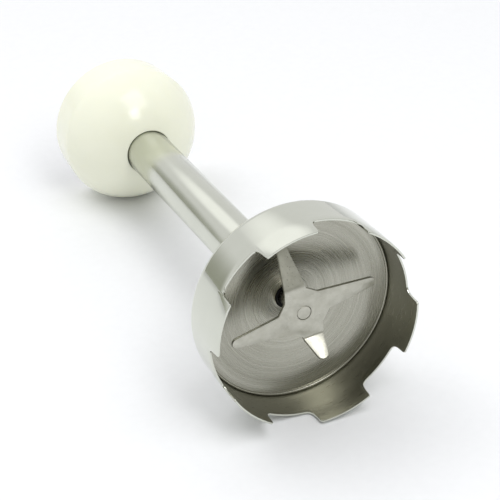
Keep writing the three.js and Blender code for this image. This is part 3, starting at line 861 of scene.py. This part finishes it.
# ---- Drive dog and its pin ----
dog_box = span("drive_dog")
wing = [
    (DOG_WAIST, -1.5 * DOG_WING),
    (dog_box.outer, -DOG_WING / 2),
    (dog_box.outer, DOG_WING / 2),
    (DOG_WAIST, 1.5 * DOG_WING),
]
corners = [(radius, turn + side) for turn in every_turn(4) for radius, side in wing]
dog = slab("dog", [around(t, r, dog_box.start) for r, t in corners], (0, 0, dog_box.end - dog_box.start))
cut(dog, [rod("bore", shaft_box.outer + ROOM / 2, dog_box.start - 1, dog_box.end + 1)])
rounded(dog, 0.4, 3, 20)
finished(dog, "rotor", black_nylon, "black_plastic", "drive_dog")

pin_half = dog_box.outer - PIN_SUNK
pin = rod("pin", PIN_RADIUS, -pin_half, pin_half)
rounded(pin, 0.2, 3)
pin.rotation_euler.y = math.pi / 2
pin.location.z = (dog_box.start + dog_box.end) / 2 * MM
bpy.context.view_layer.update()
finished(pin, "rotor", bar_steel, "machined_steel", "dog_pin")

# ---- Floor, light and camera ----
bpy.ops.mesh.primitive_plane_add(size=6, location=(0, 0, 0))
floor = bpy.context.object
floor.name = "studio_floor"
paper, tree, shader = material("white_paper_floor", Roughness=0.6)
tree.links.new(blend(tree, marks(tree, 3), "#E8E9EB", "#ECEDEF"), shader.inputs["Base Color"])
floor.data.materials.append(paper)

FRONT = (0, -1, 0), 0.1, 0.9
GAP_IN_TENT = (-0.59, 0.8, -0.1), 0.88, 1.0
GLOW = (-0.02, 0.7, 0.7), 0.92, 0.985
world = bpy.data.worlds.new("studio")
world.use_nodes = True
bpy.context.scene.world = world
sky = world.node_tree
sky_background = sky.nodes["Background"]
sky_direction = node(sky, "ShaderNodeTexCoord").outputs["Generated"]


def toward(place, start, end, low=0.0, high=1.0):
    """How nearly a direction of the sky is the given one: low at the cosine start, and high at the cosine end."""
    near = node(
        sky, "ShaderNodeVectorMath", {0: sky_direction, 1: Vector(place).normalized()}, operation="DOT_PRODUCT"
    ).outputs["Value"]
    reached = {"Value": near, "From Min": start, "From Max": end, "To Min": low, "To Max": high}
    return node(sky, "ShaderNodeMapRange", reached, interpolation_type="SMOOTHSTEP").outputs["Result"]


# A pale tent round the foot: open and dimmer at the front, a grey gap low down behind it on the left, and a
# glow high up behind it.
tent = blend(sky, toward(*FRONT), "#F1F1F2", "#B0B1AB")
gap = node(sky, "ShaderNodeMix", {"Factor": toward(*GAP_IN_TENT)}, data_type="RGBA")
gap.inputs[7].default_value = colour("#AAACA0")
sky.links.new(tent, gap.inputs[6])
sky.links.new(gap.outputs[2], sky_background.inputs["Color"])
sky.links.new(toward(*GLOW, low=1.0, high=1.5), sky_background.inputs["Strength"])


def softbox(name, place, aim, size, power):
    """A square soft light, looking from its place towards the aim."""
    lamp = bpy.data.lights.new(name, "AREA")
    lamp.size = size
    lamp.energy = power
    holder = bpy.data.objects.new(name, lamp)
    bpy.context.collection.objects.link(holder)
    holder.location = place
    holder.rotation_euler = (Vector(aim) - Vector(place)).to_track_quat("-Z", "Y").to_euler()
    return holder


softbox("overhead_softbox", (0.14, -0.31, 0.84), (0, 0, 0), 0.5, 1.9)
# The one at the back lights the plastic and the floor, and no polished face mirrors it.
back_softbox = softbox("back_softbox", (-0.38, 0.4, 0.8), (0, 0, 0), 0.5, 1.8)
back_softbox.visible_glossy = False
softbox("front_softbox", (0.05, -0.6, 0.68), (0, 0, 0), 0.25, 1.1)

camera = bpy.data.objects.new("camera", bpy.data.cameras.new("camera"))
bpy.context.collection.objects.link(camera)
CAMERA_AZIMUTH = -24.74
CAMERA_ELEVATION = 32.12
CAMERA_DISTANCE = 645.4
CAMERA_LENS = 140.09
CAMERA_AIM = Vector((8.8, -13.3, 20.5))
turn, rise = math.radians(CAMERA_AZIMUTH), math.radians(CAMERA_ELEVATION)
back = Vector((math.sin(turn) * math.cos(rise), -math.cos(turn) * math.cos(rise), math.sin(rise)))
camera.location = (CAMERA_AIM + back * CAMERA_DISTANCE) * MM
camera.rotation_euler = (-back).to_track_quat("-Z", "Y").to_euler()
camera.data.lens = CAMERA_LENS
camera.data.clip_start = 0.01
bpy.context.scene.camera = camera
bpy.context.scene.view_settings.view_transform = "Standard"

# ---- CAD nodes that are hidden inside keep their shape ----
hidden_inside = {
    "lower_bush": bronze,
    "bearing_housing": grey_acetal,
    "tube_flange": spun,
    "joint_seal": nitrile,
}
for name, inner_finish in hidden_inside.items():
    frame["nodes"][name].data.materials.clear()
    frame["nodes"][name].data.materials.append(inner_finish)
